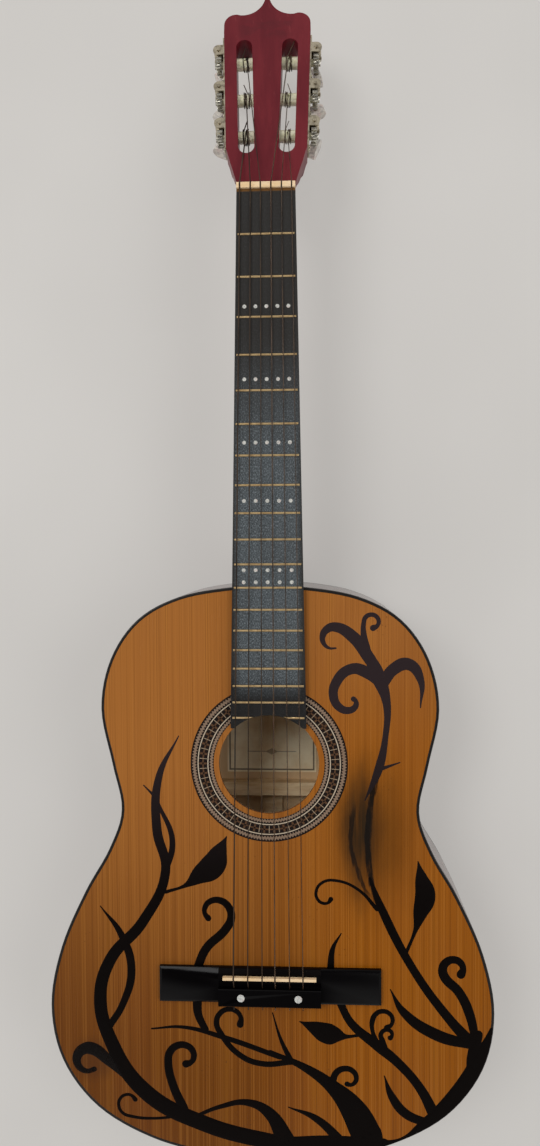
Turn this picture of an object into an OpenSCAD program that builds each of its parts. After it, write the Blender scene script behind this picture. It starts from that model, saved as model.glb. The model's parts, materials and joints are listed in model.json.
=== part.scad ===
// Classical guitar with a slotted headstock, lying on its back.
// +Z is the way the soundboard faces, +Y runs from the tail to the head and +X is the treble side.
// The origin is under the middle of the guitar, on the plane that the back rests on.

/* [Body] */
// Depth of the body from the back to the soundboard
body_depth = 96; // [92:1:104]
// Thickness of the soundboard
top_t = 2.8; // [2.4:0.1:3.4]
// Thickness of the back
back_t = 3; // [2.5:0.1:3.5]
// Thickness of the ribs, which is also the width of the binding
rib_t = 2.5; // [2:0.1:3]
// Height of the binding strips
binding_h = 6; // [5:0.5:7]
// Radius of the sound hole
hole_r = 42; // [40:0.5:43]
// Inner radius of the rosette
rosette_in = 46.5; // [45:0.5:47]
// Outer radius of the rosette
rosette_out = 66; // [62:0.5:68]

/* [Neck and strings] */
// Vibrating length of the strings
scale_length = 650; // [650:1:652]
// Width of the neck at the nut
nut_w = 48; // [47.5:0.5:52]
// Width of the neck at the body
joint_w = 59; // [58:0.5:62]
// Thickness of the fingerboard
board_t = 6; // [5:0.5:6.5]
// Height of the string axes over the soundboard at the nut
nut_action = 7.5; // [7.2:0.1:8]
// Height of the string axes over the soundboard at the saddle
saddle_action = 11.6; // [11:0.1:12.5]

/* [Headstock] */
// Angle by which the headstock leans back
head_tilt = 12; // [10:0.5:14]
// Thickness of the headstock
head_t = 20; // [19:0.5:21]
// Width of each slot
slot_w = 13.5; // [13:0.5:14]

/* [Tuners] */
// Distance between neighbouring rollers
key_pitch = 35; // [35:0.5:36]
// Radius of a roller
roller_r = 5; // [4.5:0.1:5]
// Teeth on each gear
gear_teeth = 14; // [12:1:16]
// Radius over the tips of the gear teeth
gear_r = 7.2; // [7:0.1:7.3]
// Length of a button, across its shaft
button_l = 18; // [16:0.5:20]

/* [Hidden] */
$fn = 64;
SIDES = ["bass", "treble"];
STRINGS = [1, 2, 3, 4, 5, 6];

// ---- Places along the guitar, measured from the body joint, which is the 12th fret ----
z_top = body_depth;                       // upper face of the soundboard
z_under = z_top - top_t;                  // its lower face
z_board = z_top + board_t;                // upper face of the fingerboard
y_nut = scale_length / 2;                 // string side of the nut
nut_t = 5;                                // nut, along the neck
y_head = y_nut + nut_t;                   // where the headstock bends back
y_hole = -148;                            // centre of the sound hole
y_saddle = -scale_length / 2 - 0.9;       // saddle, set back for the strings' stretch
y_tail = -488;                            // end of the body
head_tip = 182;                           // length of the headstock along its face
y_mid = (y_head + head_tip * cos(head_tilt) + y_tail) / 2;
eps = 0.01;

// ---- Curves ----
function curve_point(a, b, c, d, t) =
    0.5 * (2 * b + (c - a) * t + (2 * a - 5 * b + 4 * c - d) * t * t + (3 * b - a - 3 * c + d) * t * t * t);

// A smooth line through pts, which starts and ends in the directions from before and to after
function smooth_line(before, pts, after, steps) =
    let (p = concat([before], pts, [after]))
    concat([for (i = [1 : len(pts) - 1]) for (j = [0 : steps - 1])
                curve_point(p[i - 1], p[i], p[i + 1], p[i + 2], j / steps)],
           [pts[len(pts) - 1]]);

function unit(v) = v / norm(v);
function mirrored(pts) = [for (i = [len(pts) - 1 : -1 : 0]) [-pts[i].x, pts[i].y]];

// An arc from one angle to another
function arc(centre, r, from, to, steps = 8) =
    [for (i = [0 : steps]) let (a = from + (to - from) * i / steps) centre + r * [cos(a), sin(a)]];

// ---- Body outline: half of it, from the neck to the tail ----
joint_flat = 31;                          // half of the flat that the heel stands against
upper_bout = [141.5, -102];               // half widths, and how far down the body they are
waist = [125, -188];
lower_bout = [187.5, -357];
shoulder = [[75, -8], [110, -27], [133, -60]];
upper_side = [132.5, -149];
flank = [[136, -222], [157, -259], [178, -307]];
tail_quarter = [[178, -405], [148, -445], [102, -471], [52, -483.5]];
body_half = smooth_line([0, 0],
    concat([[joint_flat, 0]], shoulder, [upper_bout, upper_side, waist], flank, [lower_bout],
           tail_quarter, [[0, y_tail]]),
    [-52, -483.5], 6);

function outline_inset(i, d) =
    let (last = len(body_half) - 1,
         a = i == 0 ? [0, 0] : body_half[i - 1],
         b = i == last ? [-body_half[i - 1].x, body_half[i - 1].y] : body_half[i + 1],
         t = unit(b - a))
    i == 0 ? body_half[0] + [0, -d] : body_half[i] + d * [t.y, -t.x];

function outline(d) =
    let (last = len(body_half) - 1, right = [for (i = [0 : last - 1]) outline_inset(i, d)])
    concat(right, [[0, y_tail + d]], mirrored(right));

module slab(d, z0, z1) translate([0, 0, z0]) linear_extrude(z1 - z0) polygon(outline(d));

module ring(d0, d1, z0, z1) difference() {
    slab(d0, z0, z1);
    slab(d1, z0 - 1, z1 + 1);
}

module in_frame() translate([0, -y_mid, 0]) children();
module box(x, y, z) translate([x[0], y[0], z[0]]) cube([x[1] - x[0], y[1] - y[0], z[1] - z[0]]);
module rod(a, b, r) {
    v = b - a;
    translate(a) rotate([0, acos(v.z / norm(v)), atan2(v.y, v.x)]) cylinder(r = r, h = norm(v));
}

// A closed skin over rings of points, each ring with the same number of points
module skin(rings) {
    m = len(rings[0]);
    n = len(rings);
    polyhedron(
        points = [for (r = rings) each r],
        faces = concat(
            [[for (i = [0 : m - 1]) i]],
            [for (j = [0 : n - 2]) for (i = [0 : m - 1])
                let (k = (i + 1) % m) each [[j * m + i, (j + 1) * m + i, j * m + k],
                                            [j * m + k, (j + 1) * m + i, (j + 1) * m + k]]],
            [[for (i = [m - 1 : -1 : 0]) (n - 1) * m + i]]));
}

// ---- Soundbox ----
dot_x = 24;
dot_y = -343.3;
bolt_r = 2;

module soundboard() in_frame() color([0.62, 0.37, 0.14]) difference() {
    slab(rib_t, z_under, z_top);
    translate([0, y_hole, z_under - 1]) cylinder(r = hole_r, h = top_t + 2, $fn = 96);
    rosette_ring(z_top - rosette_t, z_top + 1);
    bolt_holes(bolt_r + 0.1);
}

module bolt_holes(r) for (s = [-1, 1]) translate([s * dot_x, dot_y, z_under - 10]) cylinder(r = r, h = 30);

rosette_t = 0.8;
module rosette_ring(z0, z1) translate([0, y_hole, z0]) difference() {
    cylinder(r = rosette_out, h = z1 - z0, $fn = 96);
    translate([0, 0, -1]) cylinder(r = rosette_in, h = z1 - z0 + 2, $fn = 96);
}
module rosette() in_frame() color([0.25, 0.17, 0.12]) rosette_ring(z_top - rosette_t, z_top);

module back() in_frame() color([0.36, 0.15, 0.09]) slab(rib_t, 0, back_t);

module rib(side) in_frame() color([0.32, 0.11, 0.08]) intersection() {
    ring(0, rib_t, binding_h, z_top - binding_h);
    box(side == "bass" ? [-200, 0] : [0, 200], [y_tail - 1, 1], [0, z_top]);
}

module top_binding() in_frame() color([0.05, 0.04, 0.04]) ring(0, rib_t, z_top - binding_h, z_top);
module back_binding() in_frame() color([0.05, 0.04, 0.04]) ring(0, rib_t, 0, binding_h);

block_w = 62;
neck_block_l = 42;
block_foot_l = 75;
block_foot_h = 17;
tail_block_w = 80;
tail_block_l = 18;
lining_w = 6;
lining_h = 14;

module neck_block() in_frame() color([0.60, 0.40, 0.27]) {
    box([-block_w / 2, block_w / 2], [-neck_block_l, -rib_t], [back_t, z_under]);
    box([-block_w / 2, block_w / 2], [-block_foot_l, -neck_block_l], [back_t, back_t + block_foot_h]);
}

module tail_block() in_frame() color([0.60, 0.40, 0.27]) intersection() {
    slab(rib_t, back_t, z_under);
    box([-tail_block_w / 2, tail_block_w / 2], [y_tail, y_tail + tail_block_l], [0, z_top]);
}

module linings(z0, z1) difference() {
    ring(rib_t, rib_t + lining_w, z0, z1);
    box([-block_w / 2, block_w / 2], [-block_foot_l, 1], [z0 - 1, z1 + 1]);
    box([-tail_block_w / 2, tail_block_w / 2], [y_tail, y_tail + tail_block_l], [z0 - 1, z1 + 1]);
}
module top_linings() in_frame() color([0.75, 0.58, 0.40]) linings(z_under - lining_h, z_under);
module back_linings() in_frame() color([0.75, 0.58, 0.40]) linings(back_t, back_t + lining_h);

brace_inset = rib_t + lining_w + 1;
bar_h = 15;
bar_w = 7;
fan_h = 6;
fan_w = 4.5;
patch_t = 2;
patch = [[-95, 95], [-356, -316]];

module top_braces() in_frame() color([0.80, 0.64, 0.44]) {
    intersection() {
        slab(brace_inset, z_under - bar_h, z_under);
        for (y = [-90, -198]) box([-200, 200], [y - bar_w / 2, y + bar_w / 2], [0, z_top]);
    }
    difference() {
        for (i = [-2 : 2]) translate([i * 16, -208, z_under - fan_h]) rotate([0, 0, 180 + i * 7])
            translate([-fan_w / 2, 0, 0]) cube([fan_w, 235, fan_h]);
        box([patch[0][0] - 1, patch[0][1] + 1], [patch[1][0] - 1, patch[1][1] + 1], [0, z_top]);
    }
}

back_bar_y = [-92, -192, -305, -400];
strip_t = 2.5;
module back_braces() in_frame() color([0.80, 0.64, 0.44]) {
    intersection() {
        slab(brace_inset, back_t, back_t + lining_h);
        for (y = back_bar_y) box([-200, 200], [y - 6, y + 6], [0, z_top]);
    }
    for (bay = [[-298.5, -198.5], [-393.5, -311.5], [-469, -406.5]])
        box([-8, 8], bay, [back_t, back_t + strip_t]);
}

label_t = 0.3;
module label() in_frame() color([0.85, 0.78, 0.62]) box([-44, 40], [-179.5, -116], [back_t, back_t + label_t]);

module bridge_patch() in_frame() color([0.75, 0.58, 0.40]) difference() {
    box(patch[0], patch[1], [z_under - patch_t, z_under]);
    bolt_holes(bolt_r + 0.1);
}

// ---- Bridge ----
bridge_l = 186.5;
block_l = 86;
bridge_front = -320;
bridge_back = -351;
block_h = 9.2;
wing_h = 4.8;                             // flat top of the wings, over the soundboard
wing_bevel = 2.2;                         // width of the bevel round it
wing_drop = 1.5;                          // and its depth
saddle_t = 2.4;
saddle_l = 78;
saddle_seat = 4.5;                        // floor of the saddle slot, over the soundboard
tie_front = -336;
tie_hole_z = z_top + 5.4;
tie_hole_r = 0.95;
dot_r = 3.15;
bolt_head_z = z_top + 4;

// Sideways strip: a profile of [y, z] points pulled along X
module along_x(x0, x1, profile) translate([x0, 0, 0]) rotate([90, 0, 90]) linear_extrude(x1 - x0) polygon(profile);

// Lengthways strip: a profile of [x, z] points pulled along Y
module along_y(y0, y1, profile) translate([0, y1, 0]) rotate([90, 0, 0]) linear_extrude(y1 - y0) polygon(profile);

// Section with a flat top and bevelled edges
function bevelled(from, to) = [
    [from, z_top], [to, z_top], [to, z_top + wing_h - wing_drop], [to - wing_bevel, z_top + wing_h],
    [from + wing_bevel, z_top + wing_h], [from, z_top + wing_h - wing_drop]];

block_profile = [
    [bridge_back, z_top], [bridge_back, z_top + block_h - 0.8], [bridge_back + 0.8, z_top + block_h],
    [tie_front - 0.6, z_top + block_h], [tie_front, z_top + block_h - 0.6], [tie_front, z_top + 4],
    [y_saddle - 4.5, z_top + 4], [y_saddle - 3.4, z_top + block_h - 0.8], [y_saddle + 3, z_top + block_h - 0.8],
    [bridge_front - 0.5, z_top + 4.2], [bridge_front, z_top + 3.4], [bridge_front, z_top]];

module bridge() in_frame() color([0.04, 0.04, 0.05]) difference() {
    union() {
        for (s = [-1, 1]) intersection() {
            along_x(s > 0 ? block_l / 2 : -bridge_l / 2, s > 0 ? bridge_l / 2 : -block_l / 2,
                    bevelled(bridge_back + 1, bridge_front));
            along_y(bridge_back, bridge_front, bevelled(-bridge_l / 2, bridge_l / 2));
        }
        along_x(-block_l / 2, block_l / 2, block_profile);
    }
    box([-saddle_l / 2, saddle_l / 2], [y_saddle - saddle_t / 2, y_saddle + saddle_t / 2],
        [z_top + saddle_seat, z_top + 20]);
    for (x = saddle_x) translate([x, bridge_back - 1, tie_hole_z]) rotate([-90, 0, 0])
        cylinder(r = tie_hole_r, h = tie_front - bridge_back + 2);
    bolt_holes(bolt_r + 0.1);
    for (s = [-1, 1]) translate([s * dot_x, dot_y, bolt_head_z]) cylinder(r = dot_r + 0.02, h = 20);
}

module bridge_bolts() in_frame() color([0.7, 0.7, 0.68]) for (s = [-1, 1]) translate([s * dot_x, dot_y, 0]) {
    translate([0, 0, bolt_head_z]) cylinder(r = 3, h = 3);
    translate([0, 0, z_under - patch_t - 5]) cylinder(r = bolt_r, h = bolt_head_z - z_under + patch_t + 5 + eps);
    translate([0, 0, z_under - patch_t - 3.2]) cylinder(r = 3.9, h = 3.2, $fn = 6);
}

module bridge_dots() in_frame() color([0.85, 0.84, 0.80]) for (s = [-1, 1])
    translate([s * dot_x, dot_y, bolt_head_z + 3]) cylinder(r = dot_r, h = block_h + 0.35 - 7);

// ---- Strings: [gauge radius, x at the nut, x at the saddle] from the first to the sixth ----
gauge = [0.36, 0.41, 0.51, 0.38, 0.45, 0.55];
nut_x = [21, 12.8, 4.2, -4.3, -12.5, -21.2];
saddle_x = [28, 16.8, 4.7, -6, -18, -30];
slot_u = -17;                             // middle of the slots, inwards from the side of the headstock
string_clear = 0.35;

function in_head(p) = [p.x,
    y_head + p.y * cos(head_tilt) + p.z * sin(head_tilt),
    z_top - p.y * sin(head_tilt) + p.z * cos(head_tilt)];

function string_path(k) =
    let (r = gauge[k - 1], xn = nut_x[k - 1], xs = saddle_x[k - 1],
         roller = side_point(k, slot_u + lay_u[k - 1], key_v(k), -key_depth + roller_r + string_clear + r))
    [in_head(roller),
     [xn + (roller.x - xn) * 0.01, y_head - 0.6, z_top + nut_action + 0.25],
     [xn, y_nut, z_top + nut_action],
     [xs, y_saddle + 0.8, z_top + saddle_action],
     [xs, y_saddle - 0.8, z_top + saddle_action - 0.15],
     [xs, tie_front - 0.5, tie_hole_z + 0.1],
     [xs, tie_front - 2.5, tie_hole_z],
     [xs, bridge_back - 4, tie_hole_z - 0.3]];

function tube_ring(path, i, r) =
    let (last = len(path) - 1,
         t = unit(path[min(i + 1, last)] - path[max(i - 1, 0)]),
         across = unit(cross(t, [0, 0, 1])), up = cross(across, t))
    [for (j = [0 : 7]) path[i] + r * (cos(45 * j) * across + sin(45 * j) * up)];

module string(k) in_frame() color(k < 4 ? [0.86, 0.82, 0.72] : [0.70, 0.58, 0.40]) {
    path = string_path(k);
    skin([for (i = [0 : len(path) - 1]) tube_ring(path, i, gauge[k - 1])]);
}

// Room for each string where it bends over the nut and the saddle
module string_grooves(y0, y1, za, zb) for (k = STRINGS) {
    r = gauge[k - 1] + 0.15;
    x = y0 > 0 ? nut_x[k - 1] : saddle_x[k - 1];
    rod([x, y0, za], [x, y1, zb], r);
    box([x - r, x + r], [y0, y1], [max(za, zb), z_top + 30]);
}

nut_h = 8.7;
module nut() in_frame() color([0.93, 0.86, 0.72]) difference() {
    along_x(-nut_w / 2, nut_w / 2,
            [[y_nut, z_top], [y_nut, z_top + nut_h - 0.5], [y_nut + 0.5, z_top + nut_h],
             [y_head - 1.6, z_top + nut_h], [y_head, z_top + nut_h - 1.2], [y_head, z_top]]);
    string_grooves(y_nut - 1, y_head + 1, z_top + nut_action, z_top + nut_action + 0.2);
}

module saddle() in_frame() color([0.93, 0.86, 0.72]) difference() {
    box([-saddle_l / 2, saddle_l / 2], [y_saddle - saddle_t / 2, y_saddle + saddle_t / 2],
        [z_top + saddle_seat, z_top + saddle_action + 0.2]);
    string_grooves(y_saddle - 3, y_saddle + 3, z_top + saddle_action - 0.1, z_top + saddle_action - 0.05);
}

// ---- Neck and fingerboard ----
function board_half(y) = joint_w / 2 + (nut_w - joint_w) / 2 * y / y_nut;
board_end = -117;
shaft_d = [21, 24];                       // thickness of the shaft at the nut and before the heel
heel_l = 75;
heel_cap_l = 24;
heel_cap_half = 13;
head_joint = 22;                          // glue joint between neck and headstock, along the face
head_start_half = 30.1;
root2 = sqrt(2);

// Half a section under the neck's top face: w half-width, d depth, squareness k, heel taper e, flat bottom wb
function section(w, d, k, e, wb) = [for (i = [0 : 16]) let (a = 180 * i / 16, c = cos(a))
    [sign(round(c * 1000)) * (wb + (w - wb) * pow(min(1, k * abs(c)), e)),
     -d * min(1, (wb > 0 ? 1.02 : k) * sin(a))]];

function heel_rise(y) = y >= heel_l ? 0 : y <= heel_cap_l ? 1
    : 1 - sqrt(1 - pow((heel_l - y) / (heel_l - heel_cap_l), 2));
function cap_half(y) = y >= heel_cap_l ? 0 : heel_cap_half * sqrt(1 - pow(y / heel_cap_l, 2));
function shaft_depth(y) = shaft_d[1] + (shaft_d[0] - shaft_d[1]) * (y - heel_l) / (y_nut - heel_l);

neck_y = concat([0, 6, 12, 17, 20.5, 22.7, 23.7],
                [for (i = [1 : 9]) heel_l - (heel_l - heel_cap_l) * cos(10 * i)],
                [100, 150, 200, 250, 300, y_nut - 4]);
neck_rings = [for (y = neck_y)
    let (f = heel_rise(y), d = shaft_depth(max(y, heel_l)) * (1 - f) + (z_top - back_t) * f)
    [for (p = section(board_half(y), d, 1, 1 + 0.9 * f, cap_half(y))) [p.x, y, z_top + p.y]]];
head_rings = [for (s = [0 : 2 : head_joint])
    let (f = s / head_joint, w = nut_w / 2 + (head_start_half - nut_w / 2) * pow(f, 1.15),
         d = shaft_d[0] + (head_t - shaft_d[0]) * f)
    [for (p = section(w, d, 1 + (root2 - 1) * f, 1, 0)) in_head([p.x, s, p.y])]];

module neck() in_frame() color([0.36, 0.11, 0.13]) skin(concat(neck_rings, head_rings));

module heel_cap() in_frame() color([0.05, 0.04, 0.04]) linear_extrude(back_t)
    polygon([for (i = [0 : 24]) let (a = 180 * i / 24) [heel_cap_half * cos(a), heel_cap_l * sin(a)]]);

function fret_y(n) = scale_length * pow(2, -n / 12) - y_nut;
fret_r = 0.9;
fret_inset = 1.5;                         // from the board's edge to a fret's end
inlay_r = 1.6;
inlay_t = 1;
// Rows of five dots: [fret, distance from the fret towards the nut]. They stand wider apart down the board.
inlay_rows = [[3, 8.5], [5, 9], [7, 10.5], [9, 10], [12, 14.5], [12, 4.5]];

module inlays(r, h) for (row = inlay_rows) for (i = [-2 : 2])
    translate([i * (8.7 + row[0] / 10), fret_y(row[0]) + row[1], z_board - inlay_t])
        cylinder(r = r, h = h, $fn = 24);

module fingerboard() in_frame() color([0.16, 0.15, 0.15]) difference() {
    translate([0, 0, z_top]) linear_extrude(board_t) polygon([
        [-nut_w / 2, y_nut], [nut_w / 2, y_nut],
        [board_half(board_end), board_end], [-board_half(board_end), board_end]]);
    translate([0, y_hole, z_top - 1]) cylinder(r = hole_r + 0.2, h = board_t + 2, $fn = 96);
    inlays(inlay_r, 5);
}

module position_dots() in_frame() color([0.85, 0.85, 0.82]) inlays(inlay_r - 0.02, inlay_t);

module frets() in_frame() color([0.68, 0.55, 0.33]) difference() {
    for (n = [1 : 19]) let (w = board_half(fret_y(n)) - fret_inset)
        translate([-w, fret_y(n), z_board]) rotate([0, 90, 0]) cylinder(r = fret_r, h = 2 * w, $fn = 24);
    box([-50, 50], [board_end - 5, y_nut], [z_board - 3, z_board]);
    translate([0, y_hole, z_board - 3]) cylinder(r = hole_r + 0.6, h = 8, $fn = 96);
}

// ---- Headstock ----
side_x = 33.9;                            // half-width of the headstock at the foot of the tuner plates
side_s = 41;                              // and how far that is along its face
side_taper = 1.65;
plate_v = [-4, 101];                      // tuner plates, along the side
key_first = 10;
key_depth = 10;                           // roller axes under the face
slot_v = [-11.5, 95.5];
roller_in = -28;                          // inner end of the rollers

function side_of(k) = k <= 3 ? 1 : -1;
function key_v(k) = key_first + key_pitch * (k <= 3 ? k - 1 : 6 - k);
// A point in the headstock's frame from: u out of its side, v along its side, n over its face
function side_point(k, u, v, n) = [
    side_of(k) * (side_x + u * cos(side_taper) + v * sin(side_taper)),
    side_s - u * sin(side_taper) + v * cos(side_taper), n];
lay_u = [0.2, -0.6, -1.6, -1.6, -0.6, 0.2];   // where each string meets its roller, from the slot's middle

module on_head() in_frame() translate([0, y_head, z_top]) rotate([-head_tilt, 0, 0]) children();
module on_side(side) mirror([side == "bass" ? 1 : 0, 0, 0]) translate([side_x, side_s, 0])
    rotate([0, 0, -side_taper]) children();
module at_key(k) on_head() on_side(k <= 3 ? "treble" : "bass") translate([0, key_v(k), -key_depth]) children();

module lying_x(u0, u1, r, fn = 48) translate([u0, 0, 0]) rotate([0, 90, 0]) cylinder(r = r, h = u1 - u0, $fn = fn);

corner_r = 10;                            // the crown's round corners, and the scoops up to its point
scoop_r = 19.5;
crown = concat(
    arc([36.8 - corner_r, 152], corner_r, 0, 95),
    arc([21, head_tip - 1.5], scoop_r, 275, 180, 12));
head_half = concat(
    [[head_start_half, head_joint], [32.5, 31]],
    [for (v = [-7, 104]) let (p = side_point(1, 0, v, 0)) [p.x, p.y]],
    crown);

module headstock() on_head() color([0.40, 0.14, 0.17]) difference() {
    translate([0, 0, -head_t]) linear_extrude(head_t) polygon(concat(head_half, mirrored(head_half)));
    for (side = SIDES) on_side(side) {
        for (v = [slot_v[0] + slot_w / 2, slot_v[1] - slot_w / 2])
            translate([slot_u, v, -head_t - 1]) cylinder(r = slot_w / 2, h = head_t + 2);
        box([slot_u - slot_w / 2, slot_u + slot_w / 2], [slot_v[0] + slot_w / 2, slot_v[1] - slot_w / 2],
            [-head_t - 1, 1]);
        for (i = [0 : 2]) translate([0, key_first + i * key_pitch, -key_depth])
            lying_x(roller_in - 0.3, 1, roller_r + 0.05);
        for (v = screw_v) translate([0, v, -key_depth]) lying_x(-9, 1, screw_r, 24);
    }
}

// ---- Tuners ----
plate_t = 1.2;
plate_h = 15;
ear_r = 4.6;
ear_n = [6, -7.2];                        // near faces of the two ears, from the roller's axis
worm_u = 5.2;
worm_v = 10;
worm_core_r = 2.4;
worm_half = 5.8;
pivot_r = 1.5;
shaft_r = 2;
journal_r = 3;
gear_u = [3, 7.4];
gear_root = 5.6;
screw_v = [-1, 31, 66, 97.5];
screw_r = 1.2;
button_n = -29;                           // middle of a button, from the roller's axis
button_h = 12;
button_t = 7;

module tuner_plate(side) on_head() on_side(side) color([0.75, 0.73, 0.68]) difference() {
    union() {
        box([0, plate_t], plate_v, [-key_depth - plate_h / 2, -key_depth + plate_h / 2]);
        for (i = [0 : 2], n = ear_n) translate([0, key_first + i * key_pitch + worm_v, -key_depth + n]) {
            translate([worm_u, 0, 0]) cylinder(r = ear_r, h = plate_t);
            box([plate_t / 2, worm_u], [-ear_r, ear_r], [0, plate_t]);
        }
    }
    for (i = [0 : 2]) translate([0, key_first + i * key_pitch, -key_depth]) {
        lying_x(-1, plate_t + 1, journal_r + 0.05);
        translate([worm_u, worm_v, -15]) cylinder(r = pivot_r + 0.05, h = 30);
    }
    for (v = screw_v) translate([0, v, -key_depth]) lying_x(-1, plate_t + 1, screw_r + 0.2, 24);
}

module plate_screws() on_head() for (side = SIDES) on_side(side) color([0.72, 0.68, 0.58])
    for (v = screw_v) translate([0, v, -key_depth]) {
        lying_x(-8.5, plate_t + eps, screw_r - 0.05, 24);
        difference() {
            lying_x(plate_t, plate_t + 1.1, 2.4, 32);
            box([plate_t + 0.6, plate_t + 2], [-3, 3], [-0.3, 0.3]);
        }
    }

module roller(k) at_key(k) color([0.86, 0.84, 0.72]) difference() {
    union() {
        lying_x(roller_in, -0.3, roller_r);
        lying_x(-0.4, gear_u[0], journal_r);
    }
    lying_x(-6, gear_u[0] + 1, 1.35, 24);
    translate([slot_u, 0, -8]) cylinder(r = 0.9, h = 16, $fn = 24);
}

function gear_points() = [for (i = [0 : gear_teeth - 1]) for (p = [[-0.32, gear_root], [-0.16, gear_r],
    [0.16, gear_r], [0.32, gear_root]]) let (a = (i + p[0]) * 360 / gear_teeth) p[1] * [cos(a), sin(a)]];

module gear(k) at_key(k) color([0.80, 0.66, 0.36]) {
    difference() {
        translate([gear_u[0], 0, 0]) rotate([90, 0, 90]) linear_extrude(gear_u[1] - gear_u[0])
            polygon(gear_points());
        lying_x(gear_u[0] - 1, gear_u[1] + 1, 1.35, 24);
    }
    lying_x(-5.5, gear_u[1] + eps, 1.3, 24);
    difference() {
        lying_x(gear_u[1], gear_u[1] + 1.5, 2.6, 32);
        box([gear_u[1] + 0.8, gear_u[1] + 2], [-3, 3], [-0.35, 0.35]);
    }
}

module worm(k) at_key(k) translate([worm_u, worm_v, 0]) color([0.75, 0.73, 0.68]) {
    translate([0, 0, -worm_half]) cylinder(r = worm_core_r, h = 2 * worm_half);
    translate([0, 0, worm_half - eps]) cylinder(r = pivot_r, h = 2.6);
    translate([0, 0, -8]) cylinder(r = pivot_r, h = 8 - worm_half + eps);
    translate([0, 0, button_n]) cylinder(r = shaft_r, h = -8 - button_n + eps);
}

// The buttons stand at whatever angle each was last left
button_turn = [70, 20, 110, 60, 150, 25];
module button(k) at_key(k) translate([worm_u, worm_v, button_n]) rotate([0, 0, button_turn[k - 1]])
    color([0.83, 0.80, 0.72]) difference() {
        scale_oval();
        translate([0, 0, -0.1]) cylinder(r = shaft_r + 0.02, h = 20);
    }

// An oval slab with round ends
module scale_oval() {
    end_r = button_h / 2;
    for (s = [-1, 1]) translate([s * (button_l / 2 - end_r), button_t / 2, 0]) rotate([90, 0, 0])
        cylinder(r = end_r, h = button_t);
    box([-(button_l / 2 - end_r), button_l / 2 - end_r], [-button_t / 2, button_t / 2], [-end_r, end_r]);
}

soundboard();
back();
rib("bass");  // rib_bass
rib("treble");  // rib_treble
neck_block();
tail_block();
top_linings();
back_linings();
top_binding();
back_binding();
top_braces();
back_braces();
rosette();
label();
bridge();
saddle();
bridge_bolts();
bridge_dots();
bridge_patch();
neck();
headstock();
heel_cap();
fingerboard();
nut();
position_dots();
frets();
tuner_plate("bass");  // bass_tuner_plate
tuner_plate("treble");  // treble_tuner_plate
plate_screws();
for (k = STRINGS) {
    string(k);
    roller(k);
    gear(k);
    worm(k);
    button(k);
}
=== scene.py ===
"""Looks for a worn classical guitar with hand-painted scrollwork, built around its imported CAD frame."""

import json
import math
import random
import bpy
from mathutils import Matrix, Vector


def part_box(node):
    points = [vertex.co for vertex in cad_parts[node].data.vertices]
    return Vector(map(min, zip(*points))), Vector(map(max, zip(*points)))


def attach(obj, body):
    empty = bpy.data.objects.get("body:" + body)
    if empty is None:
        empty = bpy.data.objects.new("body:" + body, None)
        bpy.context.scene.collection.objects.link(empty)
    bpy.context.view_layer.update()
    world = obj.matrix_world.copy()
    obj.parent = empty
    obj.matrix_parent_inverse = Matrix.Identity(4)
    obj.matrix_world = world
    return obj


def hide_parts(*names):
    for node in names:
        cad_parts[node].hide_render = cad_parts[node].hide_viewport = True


bl_info = {
    "name": "Worn Classical Guitar",
    "version": (1, 0, 0),
    "blender": (4, 5, 0),
    "location": "View3D > Sidebar > Guitar",
    "description": "Finishes, paint, string windings and worm threads for a slot-head classical guitar",
    "category": "Object",
}

import bmesh
import bpy
from bpy.props import FloatProperty, FloatVectorProperty, IntProperty, PointerProperty
from mathutils import Matrix, Vector
from mathutils.bvhtree import BVHTree

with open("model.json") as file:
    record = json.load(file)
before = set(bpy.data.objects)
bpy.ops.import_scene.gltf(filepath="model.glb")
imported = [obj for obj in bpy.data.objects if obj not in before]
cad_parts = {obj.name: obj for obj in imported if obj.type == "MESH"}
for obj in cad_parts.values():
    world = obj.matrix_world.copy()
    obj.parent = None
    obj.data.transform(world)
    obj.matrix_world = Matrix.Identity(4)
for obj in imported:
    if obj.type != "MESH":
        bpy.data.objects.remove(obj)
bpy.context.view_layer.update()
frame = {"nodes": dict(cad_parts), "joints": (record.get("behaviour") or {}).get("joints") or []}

MM = 0.001
JOINTS = {joint["name"]: joint for joint in frame["joints"]}
STRINGS = range(1, 7)
STRING_RADII = [0.36 * MM, 0.41 * MM, 0.51 * MM, 0.38 * MM, 0.45 * MM, 0.55 * MM]

# Places that come from the frame
TOP_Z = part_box("soundboard")[1][2]
NUT_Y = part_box("nut")[0][1]
ROSETTE_LOW, ROSETTE_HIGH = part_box("rosette")
HOLE_Y = (ROSETTE_LOW[1] + ROSETTE_HIGH[1]) / 2
JOINT_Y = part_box("neck")[0][1]


def place(x, y):
    """A point on the soundboard, given in millimetres from the body joint, in the frame's metres."""
    return Vector((x * MM, JOINT_Y + y * MM, TOP_Z))


def srgb(red, green, blue):
    """A screen colour, 0 to 255 a channel, as the linear colour that shaders take."""
    def linear(channel):
        c = channel / 255
        return c / 12.92 if c <= 0.04045 else ((c + 0.055) / 1.055) ** 2.4
    return (linear(red), linear(green), linear(blue), 1.0)


# -------------------------------- shader maths


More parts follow.
